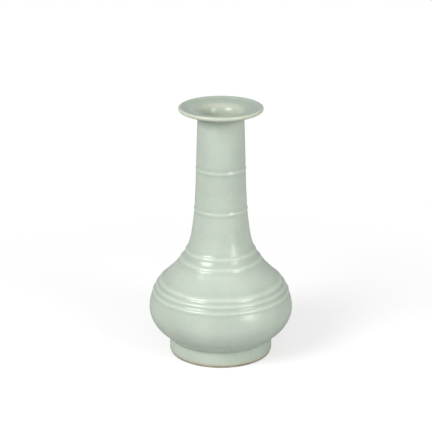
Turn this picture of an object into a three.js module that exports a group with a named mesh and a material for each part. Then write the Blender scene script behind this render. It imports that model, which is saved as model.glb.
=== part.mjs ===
// Long-neck celadon vase: a turned foot ring, a round body thrown in two sections, a neck luted on at the
// shoulder, a dish mouth, raised bowstring ribs, and glaze coats that leave the rim of the foot bare.
import * as THREE from 'three';

// Driving dimensions in millimetres, heights measured up from the surface that the foot stands on
const SEGMENTS = 28;

const FOOT_RADIUS = 50.5;
const FOOT_HEIGHT = 16;
const FOOT_TOP_RADIUS = 50.1;
const FOOT_BEVEL = 1.2;
const FOOT_RIM_WIDTH = 6.5;
const FOOT_RECESS_DEPTH = 9.5;
const FLOOR_THICKNESS = 6.5;
const FLOOR_CORNER_RADIUS = 9;

const LOWER_BELLY_RADIUS = 65.1;
const LOWER_BELLY_HEIGHT = 30;
const BELLY_RADIUS = 70.6;
const BELLY_HEIGHT = 47;
const UPPER_BELLY_RADIUS = 63.2;
const UPPER_BELLY_HEIGHT = 70;
const SHOULDER_RADIUS = 44.8;
const SHOULDER_HEIGHT = 90;
const NECK_JOINT_HEIGHT = 111;
const NECK_ROOT_RADIUS = 32.2;
const NECK_ROOT_HEIGHT = 110;
const LOW_NECK_RADIUS = 27.1;
const LOW_NECK_HEIGHT = 135;
const MIDDLE_NECK_RADIUS = 24.8;
const MIDDLE_NECK_HEIGHT = 165;
const HIGH_NECK_RADIUS = 23.7;
const HIGH_NECK_HEIGHT = 200;
const NECK_TOP_RADIUS = 22.5;
const NECK_TOP_HEIGHT = 238;
const BODY_WALL = 7;
const NECK_INSIDE_START = 100;
const NECK_INSIDE_HEIGHT = 135;
const NECK_BORE_RADIUS = 18;

const MOUTH_RISE = 12;
const LIP_RADIUS = 41;
const LIP_THICKNESS = 4.4;
const DISH_DEPTH = 2.4;
const THROAT_ROUND = 10;
const THROAT_DEPTH = 9;
const FLANGE_ROOT_REACH = 3.2;
const FLANGE_ROOT_RISE = 2.7;

const GLAZE_THICKNESS = 0.6;
const GLAZE_LINE_HEIGHT = 2;
const GLAZE_TO_CLAY = 0.05;
const BASE_GLAZE_TO_RING = 0.4;

// Bowstring ribs by height: each is a soft ridge raised from the wall
const NECK_RIBS = { heights: [189, 148.5], rise: 0.55, halfWidth: 2 };
const SHOULDER_RIBS = { heights: [106, 97.5], rise: 0.7, halfWidth: 2.2 };
const BELLY_RIBS = { heights: [74.8, 69.4, 63.6], rise: 0.8, halfWidth: 2.3 };

// Outer outline of body and neck, from the top of the foot to the underside of the mouth
const OUTLINE = [
  { height: FOOT_HEIGHT, radius: FOOT_TOP_RADIUS },
  { height: LOWER_BELLY_HEIGHT, radius: LOWER_BELLY_RADIUS },
  { height: BELLY_HEIGHT, radius: BELLY_RADIUS },
  { height: UPPER_BELLY_HEIGHT, radius: UPPER_BELLY_RADIUS },
  { height: SHOULDER_HEIGHT, radius: SHOULDER_RADIUS },
  { height: NECK_ROOT_HEIGHT, radius: NECK_ROOT_RADIUS },
  { height: LOW_NECK_HEIGHT, radius: LOW_NECK_RADIUS },
  { height: MIDDLE_NECK_HEIGHT, radius: MIDDLE_NECK_RADIUS },
  { height: HIGH_NECK_HEIGHT, radius: HIGH_NECK_RADIUS },
  { height: NECK_TOP_HEIGHT, radius: NECK_TOP_RADIUS },
];

const LIP_TOP = NECK_TOP_HEIGHT + MOUTH_RISE;
const FLOOR_TOP = FOOT_RECESS_DEPTH + FLOOR_THICKNESS;

const point = (radius, height) => new THREE.Vector2(radius, height);

function slopeAt(i) {
  const before = OUTLINE[Math.max(i - 1, 0)];
  const after = OUTLINE[Math.min(i + 1, OUTLINE.length - 1)];
  return (after.radius - before.radius) / (after.height - before.height);
}

// Radius of the outline at a height, by cubic curves between its points
function wallRadius(height) {
  const last = OUTLINE.length - 2;
  const found = OUTLINE.findIndex((p, i) => i <= last && height <= OUTLINE[i + 1].height);
  const i = found < 0 ? last : found;
  const [low, high] = [OUTLINE[i], OUTLINE[i + 1]];
  const span = high.height - low.height;
  const t = THREE.MathUtils.clamp((height - low.height) / span, 0, 1);
  const blend = t * t * (3 - 2 * t);
  const rising = span * (slopeAt(i) * t * (1 - t) ** 2 - slopeAt(i + 1) * t * t * (1 - t));
  return low.radius + (high.radius - low.radius) * blend + rising;
}

const RIB_SETS = [NECK_RIBS, SHOULDER_RIBS, BELLY_RIBS];

function ribRise(height) {
  let rise = 0;
  for (const set of RIB_SETS) {
    for (const centre of set.heights) {
      const away = Math.abs(height - centre) / set.halfWidth;
      if (away < 1) rise = Math.max(rise, set.rise * Math.cos((away * Math.PI) / 2) ** 2);
    }
  }
  return rise;
}

// Heights at which the wall is sampled: the outline's points and their middles, each rib's foot and crest
const LEAST_STEP = 1.3;

function sampleHeights() {
  const heights = OUTLINE.map((p) => p.height);
  for (let i = 1; i < OUTLINE.length; i += 1) heights.push((OUTLINE[i - 1].height + OUTLINE[i].height) / 2);
  for (const set of RIB_SETS) {
    for (const centre of set.heights) heights.push(centre - set.halfWidth, centre, centre + set.halfWidth);
  }
  const inside = heights.filter((h) => h >= FOOT_HEIGHT && h <= NECK_TOP_HEIGHT);
  return inside.sort((a, b) => a - b).filter((h, i, all) => i === 0 || h - all[i - 1] > LEAST_STEP);
}

// Glazed outside of the vase, from its resting face to the crown of the lip
function outerSkin() {
  const points = [point(FOOT_RADIUS - FOOT_BEVEL, 0), point(FOOT_RADIUS, FOOT_BEVEL)];
  points.push(point(FOOT_RADIUS, FOOT_HEIGHT * 0.8));
  for (const h of sampleHeights()) points.push(point(wallRadius(h) + ribRise(h), h));
  const lipBottom = LIP_TOP - LIP_THICKNESS;
  const root = point(NECK_TOP_RADIUS + FLANGE_ROOT_REACH * 0.25, NECK_TOP_HEIGHT + FLANGE_ROOT_RISE * 0.55);
  const underside = point(NECK_TOP_RADIUS + FLANGE_ROOT_REACH, NECK_TOP_HEIGHT + FLANGE_ROOT_RISE);
  points.push(root, underside, point(LIP_RADIUS - LIP_THICKNESS * 0.55, lipBottom));
  const crown = point(LIP_RADIUS - LIP_THICKNESS / 2, LIP_TOP);
  const edge = new THREE.CubicBezierCurve(
    point(LIP_RADIUS - LIP_THICKNESS * 0.16, lipBottom + LIP_THICKNESS * 0.2),
    point(LIP_RADIUS, lipBottom + LIP_THICKNESS * 0.4),
    point(LIP_RADIUS, LIP_TOP),
    crown,
  );
  return [...points, ...edge.getPoints(4)];
}

// Glazed inside, from the crown of the lip down the throat to the middle of the floor
function innerSkin() {
  const dishBottom = LIP_TOP - DISH_DEPTH;
  const throatTop = NECK_BORE_RADIUS + THROAT_ROUND;
  const points = [point(LIP_RADIUS - LIP_THICKNESS, LIP_TOP - DISH_DEPTH * 0.2)];
  points.push(point((LIP_RADIUS + throatTop) / 2, dishBottom + DISH_DEPTH * 0.25));
  const throat = new THREE.QuadraticBezierCurve(
    point(throatTop, dishBottom),
    point(NECK_BORE_RADIUS + THROAT_ROUND * 0.15, dishBottom),
    point(NECK_BORE_RADIUS, dishBottom - THROAT_DEPTH),
  );
  points.push(...throat.getPoints(3));
  const inNeck = (NECK_INSIDE_HEIGHT + NECK_INSIDE_START) / 2;
  const heights = [HIGH_NECK_HEIGHT, MIDDLE_NECK_HEIGHT, NECK_INSIDE_HEIGHT, inNeck];
  const bodyHeights = [NECK_INSIDE_START, SHOULDER_HEIGHT, UPPER_BELLY_HEIGHT, BELLY_HEIGHT];
  bodyHeights.forEach((h, i) => heights.push(h, (h + (bodyHeights[i + 1] ?? LOWER_BELLY_HEIGHT)) / 2));
  for (const h of heights.filter((each) => each > FLOOR_TOP + FLOOR_CORNER_RADIUS)) {
    const neckShare = THREE.MathUtils.smoothstep(h, NECK_INSIDE_START, NECK_INSIDE_HEIGHT);
    points.push(point(THREE.MathUtils.lerp(wallRadius(h) - BODY_WALL, NECK_BORE_RADIUS, neckShare), h));
  }
  const cornerTop = FLOOR_TOP + FLOOR_CORNER_RADIUS;
  const cornerRadius = wallRadius(cornerTop) - BODY_WALL;
  const corner = new THREE.QuadraticBezierCurve(
    point(cornerRadius, cornerTop),
    point(cornerRadius - FLOOR_CORNER_RADIUS * 0.6, FLOOR_TOP),
    point(cornerRadius - FLOOR_CORNER_RADIUS * 2, FLOOR_TOP),
  );
  return [...points, ...corner.getPoints(3), point(0, FLOOR_TOP)];
}

// Moves each point of a line that runs with the solid on its left towards the solid
function inset(line, distance) {
  return line.map((p, i) => {
    const before = line[Math.max(i - 1, 0)];
    const after = line[Math.min(i + 1, line.length - 1)];
    const into = (a, b) => b.clone().sub(a).normalize().rotateAround(new THREE.Vector2(), Math.PI / 2);
    const first = i > 0 ? into(before, p) : into(p, after);
    const second = i < line.length - 1 ? into(p, after) : first;
    const middle = first.clone().add(second).normalize();
    const reach = distance / Math.max(middle.dot(first), 0.6);
    const moved = p.clone().addScaledVector(middle, reach);
    if (p.x === 0) moved.set(0, p.y - distance);
    return moved;
  });
}

// The stretch of a rising line between two heights, with both ends cut square
function stretch(line, low, high) {
  const cut = (h) => {
    const i = line.findIndex((p) => p.y >= h);
    const [a, b] = [line[i - 1], line[i]];
    return point(THREE.MathUtils.mapLinear(h, a.y, b.y, a.x, b.x), h);
  };
  const inside = line.filter((p) => p.y > low + 0.05 && p.y < high - 0.05);
  return [cut(low), ...inside, cut(high)];
}

const outer = outerSkin();
const skin = [...outer, ...innerSkin()];
const crownIndex = outer.length - 1;

function split(line) {
  return { outside: line.slice(0, crownIndex + 1), inside: line.slice(crownIndex).reverse() };
}

const glazeFace = split(skin);
const glazeBack = split(inset(skin, GLAZE_THICKNESS));
const clay = split(inset(skin, GLAZE_THICKNESS + GLAZE_TO_CLAY));
const ringInnerRadius = FOOT_RADIUS - FOOT_RIM_WIDTH;

function turned(name, profile, colour, roughness) {
  const closed = profile[0].x === 0 ? profile : [...profile, profile[0].clone()];
  const geometry = new THREE.LatheGeometry(closed, SEGMENTS).rotateX(Math.PI / 2);
  const material = new THREE.MeshStandardMaterial({ color: colour, roughness, metalness: 0 });
  const mesh = new THREE.Mesh(geometry, material);
  mesh.name = name;
  return mesh;
}

const CLAY = '#b7ad93';
const CELADON = '#c7d2c4';

function clayRing(name, low, high) {
  const outside = stretch(clay.outside, low, high);
  const inside = stretch(clay.inside, low, high).reverse();
  return turned(name, [...outside, ...inside], CLAY, 0.85);
}

function footRing() {
  const outside = stretch([point(FOOT_RADIUS - FOOT_BEVEL - 0.5, -1), ...clay.outside], 0, FOOT_RECESS_DEPTH);
  outside[0].x = FOOT_RADIUS - FOOT_BEVEL - GLAZE_THICKNESS;
  const inside = [point(ringInnerRadius, FOOT_RECESS_DEPTH), point(ringInnerRadius, FOOT_BEVEL)];
  return turned('foot_ring', [...outside, ...inside, point(ringInnerRadius + FOOT_BEVEL, 0)], '#9d987b', 0.8);
}

function lowerBody() {
  const outside = stretch(clay.outside, FOOT_RECESS_DEPTH, BELLY_HEIGHT);
  const floor = clay.inside[0];
  const inside = stretch(clay.inside.slice(1), clay.inside[1].y + 0.1, BELLY_HEIGHT).slice(1).reverse();
  const profile = [point(0, FOOT_RECESS_DEPTH), ...outside, ...inside, clay.inside[1], floor];
  return turned('lower_body', profile, CLAY, 0.85);
}

function mouthFlange() {
  const outside = stretch(clay.outside, NECK_TOP_HEIGHT, clay.outside.at(-1).y);
  const inside = clay.inside.filter((p) => p.y > NECK_TOP_HEIGHT + 0.05).reverse();
  const cut = stretch(clay.inside, NECK_JOINT_HEIGHT, NECK_TOP_HEIGHT).at(-1);
  return turned('mouth_flange', [...outside, ...inside.slice(1), cut], CLAY, 0.85);
}

function outerGlaze() {
  const face = stretch(glazeFace.outside, GLAZE_LINE_HEIGHT, LIP_TOP);
  const back = stretch(glazeBack.outside, GLAZE_LINE_HEIGHT, glazeBack.outside.at(-1).y);
  return turned('outer_glaze', [...face, ...back.reverse()], CELADON, 0.18);
}

function innerGlaze() {
  return turned('inner_glaze', [...glazeBack.inside, ...glazeFace.inside.slice().reverse()], CELADON, 0.18);
}

function baseGlaze() {
  const radius = ringInnerRadius - BASE_GLAZE_TO_RING;
  const low = FOOT_RECESS_DEPTH - GLAZE_THICKNESS;
  const underside = [point(0, low), point(radius, low)];
  const profile = [...underside, point(radius, FOOT_RECESS_DEPTH), point(0, FOOT_RECESS_DEPTH)];
  return turned('base_glaze', profile, CELADON, 0.25);
}

const vase = new THREE.Group();
vase.add(
  footRing(),
  lowerBody(),
  clayRing('upper_body', BELLY_HEIGHT, NECK_JOINT_HEIGHT),
  clayRing('neck', NECK_JOINT_HEIGHT, NECK_TOP_HEIGHT),
  mouthFlange(),
  outerGlaze(),
  innerGlaze(),
  baseGlaze(),
);

export default vase;
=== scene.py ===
"""Long-neck celadon vase: smooth glazed skin, bare foot rim and glazed recess over the clay sections."""

import math

import bpy
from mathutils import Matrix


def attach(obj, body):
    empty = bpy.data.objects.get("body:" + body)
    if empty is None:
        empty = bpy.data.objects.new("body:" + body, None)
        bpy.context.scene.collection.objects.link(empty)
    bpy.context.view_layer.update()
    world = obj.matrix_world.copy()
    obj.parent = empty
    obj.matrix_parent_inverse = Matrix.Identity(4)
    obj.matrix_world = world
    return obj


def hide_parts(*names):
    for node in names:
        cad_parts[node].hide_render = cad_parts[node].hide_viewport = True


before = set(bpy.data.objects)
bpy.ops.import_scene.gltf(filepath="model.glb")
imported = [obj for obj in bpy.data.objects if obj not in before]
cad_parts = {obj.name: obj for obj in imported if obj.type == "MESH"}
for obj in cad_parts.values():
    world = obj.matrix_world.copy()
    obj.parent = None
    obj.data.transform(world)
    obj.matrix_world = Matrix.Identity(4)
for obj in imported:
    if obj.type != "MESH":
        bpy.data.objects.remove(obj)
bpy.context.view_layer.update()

MM = 0.001
TURN_STEPS = 136

# Sizes in millimetres, as in the solids
FOOT_RADIUS, FOOT_TOP_RADIUS, FOOT_HEIGHT = 50.5, 50.1, 16.0
FOOT_RIM_WIDTH, RECESS_DEPTH = 6.5, 9.5
GLAZE_LINE, GLAZE_THICKNESS = 2.0, 0.6
NECK_TOP_RADIUS, NECK_TOP = 22.5, 238.0
LIP_RADIUS, BORE_RADIUS = 41.0, 18.0
THROAT_RADIUS, DISH_RING_RADIUS = 21.0, 28.5
BODY_WALL, FLOOR_TOP, FLOOR_CORNER_TOP = 7.0, 16.0, 25.0
NECK_INSIDE_START, NECK_INSIDE_HEIGHT = 100.0, 135.0

# Outline of the body and neck as (height, radius), and the mouth's curves as handles of (radius, height)
OUTLINE = [(FOOT_HEIGHT, FOOT_TOP_RADIUS), (30, 65.1), (47, 70.6), (70, 63.2), (90, 44.8), (110, 32.2),
           (135, 27.1), (165, 24.8), (200, 23.7), (NECK_TOP, NECK_TOP_RADIUS)]
MOUTH_UNDERSIDE = [(22.5, 238.3), (22.6, 240), (24.2, 240.4), (29, 242.0), (38.0, 245.5)]
LIP_EDGE = [(38.9, 245.9), (40.7, 246.4), (41.4, 248.2), (40.8, 250), (38.8, 250)]
LIP_INSIDE = [(38.1, 249.95), (36.9, 249.7), (36.4, 249.1), (35, 248.8)]
DISH = [(34, 248.6), (31, 248.0), (28.5, 247.9)]
THROAT = [(27.6, 247.75), (24, 247.2), (19.6, 246.2), (18.2, 242), (18.0, 237)]

# Ribs as (height, rise, half width), with a shallow hollow on both sides of each
NECK_RIBS = [(189, 0.55, 2.0), (148.5, 0.55, 2.0)]
SHOULDER_RIBS = [(106, 0.7, 2.2), (97.5, 0.7, 2.2)]
BELLY_RIBS = [(74.8, 0.8, 2.3), (69.4, 0.8, 2.3), (63.6, 0.8, 2.3)]
RIBS = NECK_RIBS + SHOULDER_RIBS + BELLY_RIBS
HOLLOW_DEPTH, HOLLOW_REACH = 0.14, 2.4

# The photo's camera: distance in front, height above the floor, tilt and focal length
CAMERA_PLACE = (-0.0047, -1.518, 0.668)
CAMERA_TILT = 90 - 19.23
LENS_MM, SENSOR_MM = 136.87, 36.0
# The floor glows for the camera so that it shows white, and fades out from the first distance to the second
FLOOR_GLOW = 0.54
FLOOR_FADE = (0.16, 0.42)
FLOOR_SIZE, FLOOR_DROP, FLOOR_GREY = 12, 0.0002, 0.55


def slope_at(i):
    """The outline's slope at one of its points, from the points on both sides of it."""
    (z0, r0), (z1, r1) = OUTLINE[max(i - 1, 0)], OUTLINE[min(i + 1, len(OUTLINE) - 1)]
    return (r1 - r0) / (z1 - z0)


def wall_radius(z):
    """Radius of the plain outline at a height, by cubic curves between its points."""
    i = next((k for k in range(len(OUTLINE) - 1) if z <= OUTLINE[k + 1][0]), len(OUTLINE) - 2)
    (z0, r0), (z1, r1) = OUTLINE[i], OUTLINE[i + 1]
    span = z1 - z0
    t = min(max((z - z0) / span, 0), 1)
    blend = t * t * (3 - 2 * t)
    rising = slope_at(i) * t * (1 - t) ** 2 - slope_at(i + 1) * t * t * (1 - t)
    return r0 + (r1 - r0) * blend + span * rising


def rib_relief(z):
    """How far the ribs raise the wall at a height, and their hollows lower it."""
    relief = 0.0
    for centre, rise, half in RIBS:
        away = abs(z - centre) / half
        if away < 1:
            relief += rise * math.cos(away * math.pi / 2) ** 2
        relief -= HOLLOW_DEPTH * math.exp(-(((abs(z - centre) - half - 0.8) / HOLLOW_REACH) ** 2))
    return relief


def curve(points, steps):
    """Points along a Bezier curve with any number of handles."""
    found = []
    for k in range(steps + 1):
        t = k / steps
        level = list(points)
        while len(level) > 1:
            level = [tuple(a + (b - a) * t for a, b in zip(p, q)) for p, q in zip(level, level[1:])]
        found.append(level[0])
    return found


def outer_profile():
    """(radius, height) in millimetres, from the glaze line up to the crown of the lip."""
    points = [(FOOT_RADIUS - 0.45, GLAZE_LINE), (FOOT_RADIUS, GLAZE_LINE + 0.7)]
    points += [(FOOT_RADIUS + 0.05, z) for z in (5, 8, 11)] + [(FOOT_TOP_RADIUS + 0.1, 14)]
    points += [(FOOT_TOP_RADIUS - 0.15, FOOT_HEIGHT - 0.6), (FOOT_TOP_RADIUS + 0.1, FOOT_HEIGHT + 0.1)]
    for k in range(int(NECK_TOP - FOOT_HEIGHT)):
        z = FOOT_HEIGHT + 0.7 + k * 0.997
        points.append((wall_radius(z) + rib_relief(z), z))
    return points + curve(MOUTH_UNDERSIDE, 14) + curve(LIP_EDGE, 12)


def inner_profile():
    """(radius, height) in millimetres, from just inside the crown down to the middle of the floor."""
    points = curve(LIP_INSIDE, 7) + curve(DISH, 6) + curve(THROAT, 16)
    for z in range(233, 27, -4):
        share = (z - NECK_INSIDE_START) / (NECK_INSIDE_HEIGHT - NECK_INSIDE_START)
        share = min(max(share, 0), 1)
        share = share * share * (3 - 2 * share)
        body = wall_radius(z) - BODY_WALL
        points.append((body + (BORE_RADIUS - body) * share, z))
    edge = wall_radius(FLOOR_CORNER_TOP) - BODY_WALL
    points += curve([(edge, FLOOR_CORNER_TOP), (edge - 5.4, FLOOR_TOP), (edge - 18, FLOOR_TOP)], 8)
    return points + [(edge - 30, FLOOR_TOP), (0, FLOOR_TOP)]


def turned(name, profile):
    """A round piece: its closed outline is drawn out point by point and turned about the vase's axis."""
    bpy.ops.object.select_all(action="DESELECT")
    bpy.ops.mesh.primitive_plane_add(size=0.001, location=(0, 0, 0))
    piece = bpy.context.active_object
    piece.name = name
    bpy.ops.object.mode_set(mode="EDIT")
    bpy.ops.mesh.select_all(action="SELECT")
    bpy.ops.mesh.merge(type="CENTER")
    (r, z) = profile[0]
    bpy.ops.transform.translate(value=(r * MM, 0, z * MM))
    for (r0, z0), (r1, z1) in zip(profile, profile[1:] + profile[:1]):
        step = ((r1 - r0) * MM, 0, (z1 - z0) * MM)
        bpy.ops.mesh.extrude_region_move(TRANSFORM_OT_translate={"value": step})
    bpy.ops.mesh.select_all(action="SELECT")
    bpy.ops.mesh.remove_doubles(threshold=1e-6)
    bpy.ops.mesh.select_all(action="SELECT")
    bpy.ops.mesh.spin(steps=TURN_STEPS, angle=2 * math.pi, center=(0, 0, 0), axis=(0, 0, 1))
    bpy.ops.mesh.select_all(action="SELECT")
    bpy.ops.mesh.remove_doubles(threshold=2e-6)
    bpy.ops.mesh.delete_loose()
    bpy.ops.mesh.select_all(action="SELECT")
    bpy.ops.mesh.normals_make_consistent(inside=False)
    bpy.ops.object.mode_set(mode="OBJECT")
    bpy.ops.object.shade_smooth_by_angle(angle=math.radians(50))
    return piece


def add_group(name, inputs, outputs):
    """An empty shader group with named sockets, each given as (name, type, default)."""
    group = bpy.data.node_groups.new(name, "ShaderNodeTree")
    for words, kind, value in inputs:
        group.interface.new_socket(words, in_out="INPUT", socket_type=kind).default_value = value
    for words, kind in outputs:
        group.interface.new_socket(words, in_out="OUTPUT", socket_type=kind)
    return group, group.nodes.new("NodeGroupInput"), group.nodes.new("NodeGroupOutput")


def noise(tree, coords, scale, detail, roughness=0.5):
    node = tree.nodes.new("ShaderNodeTexNoise")
    node.inputs["Scale"].default_value = scale
    node.inputs["Detail"].default_value = detail
    node.inputs["Roughness"].default_value = roughness
    tree.links.new(coords, node.inputs["Vector"])
    return node.outputs["Fac"]


def remap(tree, value, low, high, to_low, to_high):
    node = tree.nodes.new("ShaderNodeMapRange")
    limits = {"From Min": low, "From Max": high, "To Min": to_low, "To Max": to_high}
    for socket, number in limits.items():
        node.inputs[socket].default_value = number
    tree.links.new(value, node.inputs["Value"])
    return node.outputs["Result"]


def mixed(tree, share, first, second):
    """A colour between two, each a colour or a socket."""
    node = tree.nodes.new("ShaderNodeMix")
    node.data_type = "RGBA"
    tree.links.new(share, node.inputs["Factor"])
    for socket, colour in ((node.inputs[6], first), (node.inputs[7], second)):
        if isinstance(colour, tuple):
            socket.default_value = colour
        else:
            tree.links.new(colour, socket)
    return node.outputs[2]


def arithmetic(tree, operation, first, second):
    """The result of a sum or product of two values, each a number or a socket."""
    node = tree.nodes.new("ShaderNodeMath")
    node.operation = operation
    for socket, value in zip(node.inputs, (first, second)):
        if isinstance(value, (int, float)):
            socket.default_value = value
        else:
            tree.links.new(value, socket)
    return node.outputs[0]


def celadon_group():
    """Glaze colour by its depth, which also holds painted shade above the foot and under the flange, with
    faint clouding and specks, and the height of its skin.
    """
    group, entry, end = add_group(
        "Celadon_Glaze",
        [("Thin Colour", "NodeSocketColor", (0.61, 0.675, 0.575, 1)),
         ("Glaze Colour", "NodeSocketColor", (0.505, 0.575, 0.49, 1)),
         ("Pooled And Shaded Colour", "NodeSocketColor", (0.40, 0.49, 0.40, 1)),
         ("Cream Colour", "NodeSocketColor", (0.57, 0.55, 0.41, 1)),
         ("Clouding", "NodeSocketFloat", 0.35),
         ("Skin Height", "NodeSocketFloat", 0.0006)],
        [("Colour", "NodeSocketColor"), ("Height", "NodeSocketFloat"), ("Roughness", "NodeSocketFloat")])
    coords = group.nodes.new("ShaderNodeTexCoord").outputs["Object"]
    depth_and_shade = group.nodes.new("ShaderNodeAttribute")
    depth_and_shade.attribute_name = "glaze_depth_and_shade"
    cream = group.nodes.new("ShaderNodeAttribute")
    cream.attribute_name = "glaze_edge"
    clouds = remap(group, noise(group, coords, 28, 3), 0.3, 0.7, -0.5, 0.5)
    clouding = arithmetic(group, "MULTIPLY", clouds, entry.outputs["Clouding"])
    shifted = arithmetic(group, "ADD", depth_and_shade.outputs["Fac"], clouding)
    pooled_and_shaded = mixed(group, remap(group, shifted, 0.5, 1, 0, 1), entry.outputs["Glaze Colour"],
                   entry.outputs["Pooled And Shaded Colour"])
    glazed = mixed(group, remap(group, shifted, 0.0, 0.5, 0, 1), entry.outputs["Thin Colour"], pooled_and_shaded)
    edged = mixed(group, cream.outputs["Fac"], glazed, entry.outputs["Cream Colour"])
    specks = group.nodes.new("ShaderNodeTexVoronoi")
    specks.inputs["Scale"].default_value = 95
    group.links.new(coords, specks.inputs["Vector"])
    dots = remap(group, specks.outputs["Distance"], 0.03, 0.05, 0.22, 0)
    speckled = mixed(group, dots, edged, (0.36, 0.33, 0.22, 1))
    ripple = arithmetic(group, "ADD", noise(group, coords, 55, 2),
                   arithmetic(group, "MULTIPLY", noise(group, coords, 900, 2), 0.06))
    group.links.new(speckled, end.inputs["Colour"])
    group.links.new(arithmetic(group, "MULTIPLY", ripple, entry.outputs["Skin Height"]), end.inputs["Height"])
    group.links.new(remap(group, noise(group, coords, 40, 3), 0.3, 0.7, 0.2, 0.3), end.inputs["Roughness"])
    return group


def clay_group():
    """Fired clay: grainy and a little blotched."""
    group, entry, end = add_group(
        "Fired_Clay",
        [("Pale Colour", "NodeSocketColor", (0.50, 0.45, 0.33, 1)),
         ("Burnt Colour", "NodeSocketColor", (0.22, 0.17, 0.10, 1)),
         ("Burn", "NodeSocketFloat", 0.5),
         ("Grain Height", "NodeSocketFloat", 0.0004)],
        [("Colour", "NodeSocketColor"), ("Height", "NodeSocketFloat")])
    coords = group.nodes.new("ShaderNodeTexCoord").outputs["Object"]
    blotches = remap(group, noise(group, coords, 60, 4), 0.35, 0.65, -0.3, 0.3)
    burn = arithmetic(group, "ADD", entry.outputs["Burn"], blotches)
    grain = noise(group, coords, 1400, 3)
    share = remap(group, burn, 0, 1, 0, 1)
    base = mixed(group, share, entry.outputs["Pale Colour"], entry.outputs["Burnt Colour"])
    colour = mixed(group, remap(group, grain, 0.3, 0.45, 0.35, 0), base, (0.12, 0.09, 0.06, 1))
    group.links.new(colour, end.inputs["Colour"])
    group.links.new(arithmetic(group, "MULTIPLY", grain, entry.outputs["Grain Height"]), end.inputs["Height"])
    return group


CELADON_GROUP = celadon_group()
CLAY_GROUP = clay_group()


def material_with(name, group, roughness, values, scatter=0.0):
    """A Principled material whose colour and skin come from a group."""
    material = bpy.data.materials.new(name)
    material.use_nodes = True
    tree = material.node_tree
    shader = next(n for n in tree.nodes if n.type == "BSDF_PRINCIPLED")
    pattern = tree.nodes.new("ShaderNodeGroup")
    pattern.node_tree = group
    for words, value in values.items():
        pattern.inputs[words].default_value = value
    bump = tree.nodes.new("ShaderNodeBump")
    bump.inputs["Strength"].default_value = 0.5
    bump.inputs["Distance"].default_value = 1.0
    tree.links.new(pattern.outputs["Colour"], shader.inputs["Base Color"])
    tree.links.new(pattern.outputs["Height"], bump.inputs["Height"])
    tree.links.new(bump.outputs["Normal"], shader.inputs["Normal"])
    shader.inputs["Roughness"].default_value = roughness
    if "Roughness" in pattern.outputs:
        tree.links.new(pattern.outputs["Roughness"], shader.inputs["Roughness"])
    shader.inputs["Subsurface Weight"].default_value = scatter
    shader.inputs["Subsurface Scale"].default_value = 0.002
    return material


CELADON = material_with("Celadon_glaze", CELADON_GROUP, 0.25, {}, scatter=0.12)
BASE_CELADON = material_with("Celadon_glaze_recess", CELADON_GROUP, 0.3, {"Clouding": 0.6})
RIM_CLAY = material_with("Bare_foot_clay", CLAY_GROUP, 0.8, {"Burn": 0.6})
BODY_CLAY = material_with("Body_clay", CLAY_GROUP, 0.85, {"Burn": 0.15})


def bell(value, centre, width):
    """1 at the centre, falling smoothly to 0 on both sides."""
    return math.exp(-(((value - centre) / width) ** 2))


def glaze_at(radius, z):
    """How deep the glaze lies at a place, from 0 on crests to 1 in pools, with painted shade added as depth
    above the foot and under the flange, and how creamy its edge is.
    """
    outside = z < NECK_TOP and radius > wall_radius(max(z, FOOT_HEIGHT)) - 2.5
    if outside:
        relief = rib_relief(z)
        # The crease above the foot gets extra depth and so a darker colour: partly pooled glaze, partly
        # painted shade.
        depth_and_shade = 0.42 - 0.5 * max(0, relief) + 1.2 * max(0, -relief) + 0.3 * bell(z, FOOT_HEIGHT, 1.8)
        return depth_and_shade, 0.85 * bell(z, GLAZE_LINE, 2.4)
    if z < NECK_TOP:
        return 0.42, 0.25
    lip = bell(radius, LIP_RADIUS - 0.4, 1.7)
    throat = bell(radius, THROAT_RADIUS, 3.0)
    ring = bell(radius, DISH_RING_RADIUS, 1.3)
    # Above the neck top the glaze lies deep except at the lip, throat and ring: a pool in the dish, and under
    # the flange partly pooled glaze, partly painted shade.
    return 0.8 - 0.8 * lip - 0.35 * throat - 0.25 * ring, 0.35 * lip + 0.35 * throat


def mark_glaze(piece):
    """Stores the depth of the glaze, painted shade included, and its creaminess on each vertex."""
    mesh = piece.data
    places = [(math.hypot(v.co.x, v.co.y) / MM, v.co.z / MM) for v in mesh.vertices]
    found = [glaze_at(*place) for place in places]
    for name, values in zip(("glaze_depth_and_shade", "glaze_edge"), zip(*found)):
        clamped = [min(max(value, 0), 1) for value in values]
        mesh.attributes.new(name, "FLOAT", "POINT").data.foreach_set("value", clamped)


def inset(line, distance):
    """The line moved towards the solid that lies on its left, with its last point on the axis."""
    moved = []
    for i, (r, z) in enumerate(line[:-1]):
        (r0, z0), (r1, z1) = line[max(i - 1, 0)], line[i + 1]
        length = math.hypot(r1 - r0, z1 - z0)
        moved.append((r - (z1 - z0) / length * distance, z + (r1 - r0) / length * distance))
    return moved + [(0, line[-1][1] - distance)]


def glazed_skin():
    """The glaze coat, outside and in, as one closed shell over the clay."""
    face = outer_profile() + inner_profile()
    back = inset(face, GLAZE_THICKNESS * 0.8)
    back[0] = (FOOT_RADIUS - 0.9, GLAZE_LINE)
    return turned("celadon_skin", face + back[::-1])


def foot_rim():
    inner = FOOT_RADIUS - FOOT_RIM_WIDTH
    profile = [(inner, RECESS_DEPTH), (inner, 1.5), (inner + 0.5, 0.5), (inner + 1.4, 0)]
    profile += [(FOOT_RADIUS - 1.7, 0), (FOOT_RADIUS - 0.95, 0.35)]
    profile += [(FOOT_RADIUS - 0.62, 1.0), (FOOT_RADIUS - 0.6, GLAZE_LINE)]
    return turned("bare_foot_rim", profile + [(FOOT_RADIUS - 0.75, RECESS_DEPTH)])


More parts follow.
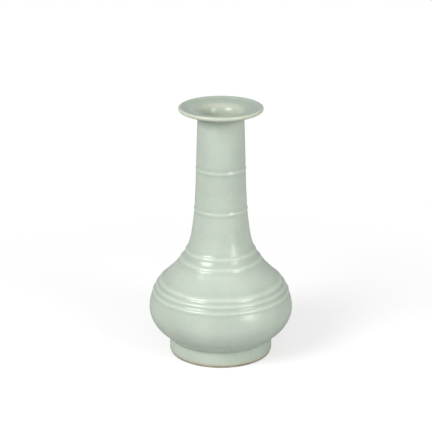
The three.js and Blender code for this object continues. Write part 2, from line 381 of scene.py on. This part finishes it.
def recess_glaze():
    edge = FOOT_RADIUS - FOOT_RIM_WIDTH - 0.2
    low = RECESS_DEPTH - GLAZE_THICKNESS
    profile = [(0, low), (20, low), (edge - 3, low), (edge - 0.8, low - 0.4), (edge, low - 1.2)]
    return turned("recess_glaze", profile + [(edge, RECESS_DEPTH), (0, RECESS_DEPTH)])


def dress(piece, material, slot, *nodes):
    piece.data.materials.clear()
    piece.data.materials.append(material)
    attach(piece, "root")
    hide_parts(*nodes)


skin = glazed_skin()
mark_glaze(skin)
dress(skin, CELADON, "celadon_glaze", "outer_glaze", "inner_glaze")
dress(foot_rim(), RIM_CLAY, "bare_foot", "foot_ring")
recess = recess_glaze()
mark_glaze(recess)
dress(recess, BASE_CELADON, "celadon_glaze", "base_glaze")

for node in ("lower_body", "upper_body", "neck", "mouth_flange"):
    clay_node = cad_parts[node]
    for place in clay_node.material_slots:
        place.material = BODY_CLAY


def plain_floor():
    bpy.ops.object.select_all(action="DESELECT")
    bpy.ops.mesh.primitive_plane_add(size=FLOOR_SIZE, location=(0, 0, -FLOOR_DROP))
    floor = bpy.context.active_object
    floor.name = "studio_floor"
    material = bpy.data.materials.new("Studio_floor")
    material.use_nodes = True
    shader = next(n for n in material.node_tree.nodes if n.type == "BSDF_PRINCIPLED")
    shader.inputs["Base Color"].default_value = (FLOOR_GREY, FLOOR_GREY, FLOOR_GREY, 1)
    shader.inputs["Roughness"].default_value = 0.9
    shader.inputs["Specular IOR Level"].default_value = 0.1
    tree = material.node_tree
    path = tree.nodes.new("ShaderNodeLightPath")
    glow = remap(tree, path.outputs["Is Camera Ray"], 0, 1, 0, FLOOR_GLOW)
    shader.inputs["Emission Color"].default_value = (1, 1, 1, 1)
    tree.links.new(glow, shader.inputs["Emission Strength"])
    place = tree.nodes.new("ShaderNodeNewGeometry").outputs["Position"]
    far = tree.nodes.new("ShaderNodeVectorMath")
    far.operation = "LENGTH"
    tree.links.new(place, far.inputs[0])
    tree.links.new(remap(tree, far.outputs["Value"], *FLOOR_FADE, 1, 0), shader.inputs["Alpha"])
    floor.data.materials.append(material)


def softbox(name, azimuth, elevation, distance, width, height, power):
    """A soft light aimed at the vase. Azimuth 0 is the camera's side, positive to its right."""
    turn, rise = math.radians(azimuth), math.radians(elevation)
    flat = distance * math.cos(rise)
    place = (flat * math.sin(turn), -flat * math.cos(turn), 0.12 + distance * math.sin(rise))
    facing = (math.radians(90 - elevation), 0, turn)
    bpy.ops.object.light_add(type="AREA", location=place, rotation=facing)
    light = bpy.context.active_object
    light.name = name
    light.data.shape = "RECTANGLE"
    light.data.size, light.data.size_y = width, height
    light.data.energy = power


def white_surround():
    world = bpy.data.worlds.new("Studio_surround")
    bpy.context.scene.world = world
    world.use_nodes = True
    tree = world.node_tree
    plain = next(n for n in tree.nodes if n.type == "BACKGROUND")
    plain.inputs["Color"].default_value = (1, 1, 1, 1)
    plain.inputs["Strength"].default_value = 0.42
    seen = tree.nodes.new("ShaderNodeBackground")
    seen.inputs["Color"].default_value = (1, 1, 1, 1)
    seen.inputs["Strength"].default_value = 1.0
    path = tree.nodes.new("ShaderNodeLightPath")
    mix = tree.nodes.new("ShaderNodeMixShader")
    tree.links.new(path.outputs["Is Camera Ray"], mix.inputs["Fac"])
    tree.links.new(plain.outputs[0], mix.inputs[1])
    tree.links.new(seen.outputs[0], mix.inputs[2])
    end = next(n for n in tree.nodes if n.type == "OUTPUT_WORLD")
    tree.links.new(mix.outputs[0], end.inputs["Surface"])


def camera():
    data = bpy.data.cameras.new("Photo_camera")
    data.lens, data.sensor_width = LENS_MM, SENSOR_MM
    holder = bpy.data.objects.new("Photo_camera", data)
    bpy.context.scene.collection.objects.link(holder)
    holder.location = CAMERA_PLACE
    holder.rotation_euler = (math.radians(CAMERA_TILT), 0, 0)
    bpy.context.scene.camera = holder


camera()
plain_floor()
softbox("Key_softbox", -48, 33, 1.6, 0.8, 0.62, 17.5)
softbox("Fill_softbox", 46, 20, 1.6, 0.5, 1.0, 11.5)
white_surround()
bpy.context.scene.view_settings.view_transform = "Standard"
